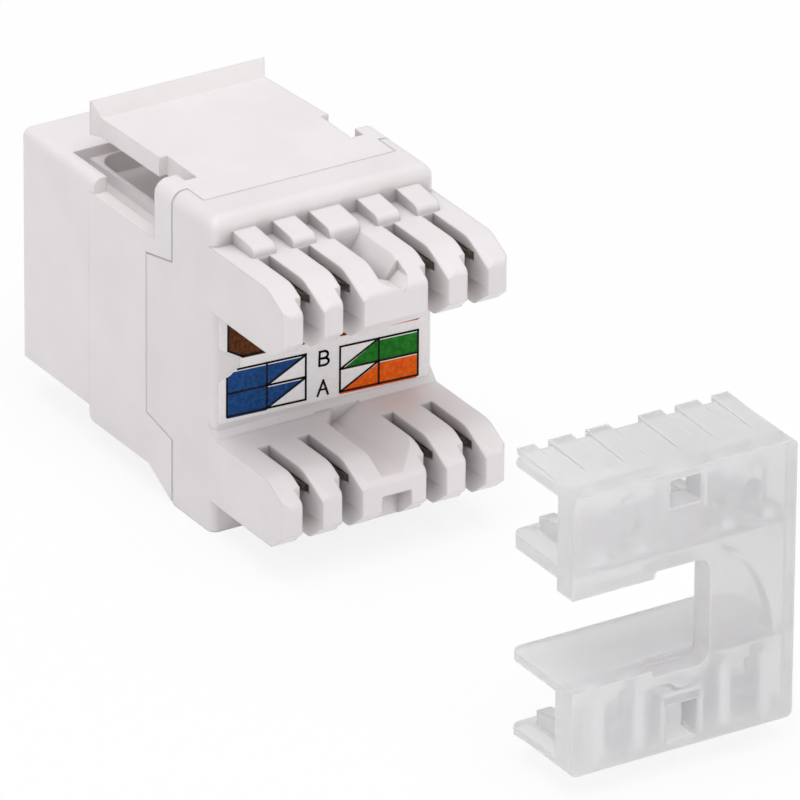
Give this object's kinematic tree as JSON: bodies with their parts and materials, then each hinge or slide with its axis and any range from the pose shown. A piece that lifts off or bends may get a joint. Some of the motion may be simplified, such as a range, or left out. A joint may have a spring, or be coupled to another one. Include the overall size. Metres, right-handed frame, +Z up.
{
  "type": "keystone jack",
  "caption": "Snap-in RJ45 socket with insulation-displacement terminal rows at its rear, a flexing latch lever and a clear terminal cap drawn off the rows.",
  "frame": {"origin": "middle of the port face's lower edge, where the jack passes the panel aperture", "axes": "+Y out of the port along the plug's axis, +Z up towards the latch lever, +X to the right seen from the terminal end"},
  "size_m": [0.0148, 0.0588, 0.0202],
  "materials": {
    "white_plastic": "fine satin moulding",
    "clear_plastic": "frosted clear moulding",
    "sled_plastic": "satin",
    "board": "solder mask",
    "gold_plate": "polished plating",
    "terminal_metal": "tin plated",
    "label_stock": "printed paper"
  },
  "bodies": {
    "jack": {"housing": "white_plastic", "rear_block": "white_plastic", "circuit_board": "board", "contact_sled": "sled_plastic", "port_contact_1": "gold_plate", "port_contact_2": "gold_plate", "port_contact_3": "gold_plate", "port_contact_4": "gold_plate", "port_contact_5": "gold_plate", "port_contact_6": "gold_plate", "port_contact_7": "gold_plate", "port_contact_8": "gold_plate", "idc_contact_1": "terminal_metal", "idc_contact_2": "terminal_metal", "idc_contact_3": "terminal_metal", "idc_contact_4": "terminal_metal", "idc_contact_5": "terminal_metal", "idc_contact_6": "terminal_metal", "idc_contact_7": "terminal_metal", "idc_contact_8": "terminal_metal", "wiring_label": "label_stock"},
    "dust_cap": {"dust_cap": "clear_plastic"}
  },
  "joints": [
    {"name": "dust_cap_slide", "type": "slide", "parent": "jack", "child": "dust_cap", "axis": [0, 1, 0], "range_m": [0, 0.028]}
  ]
}
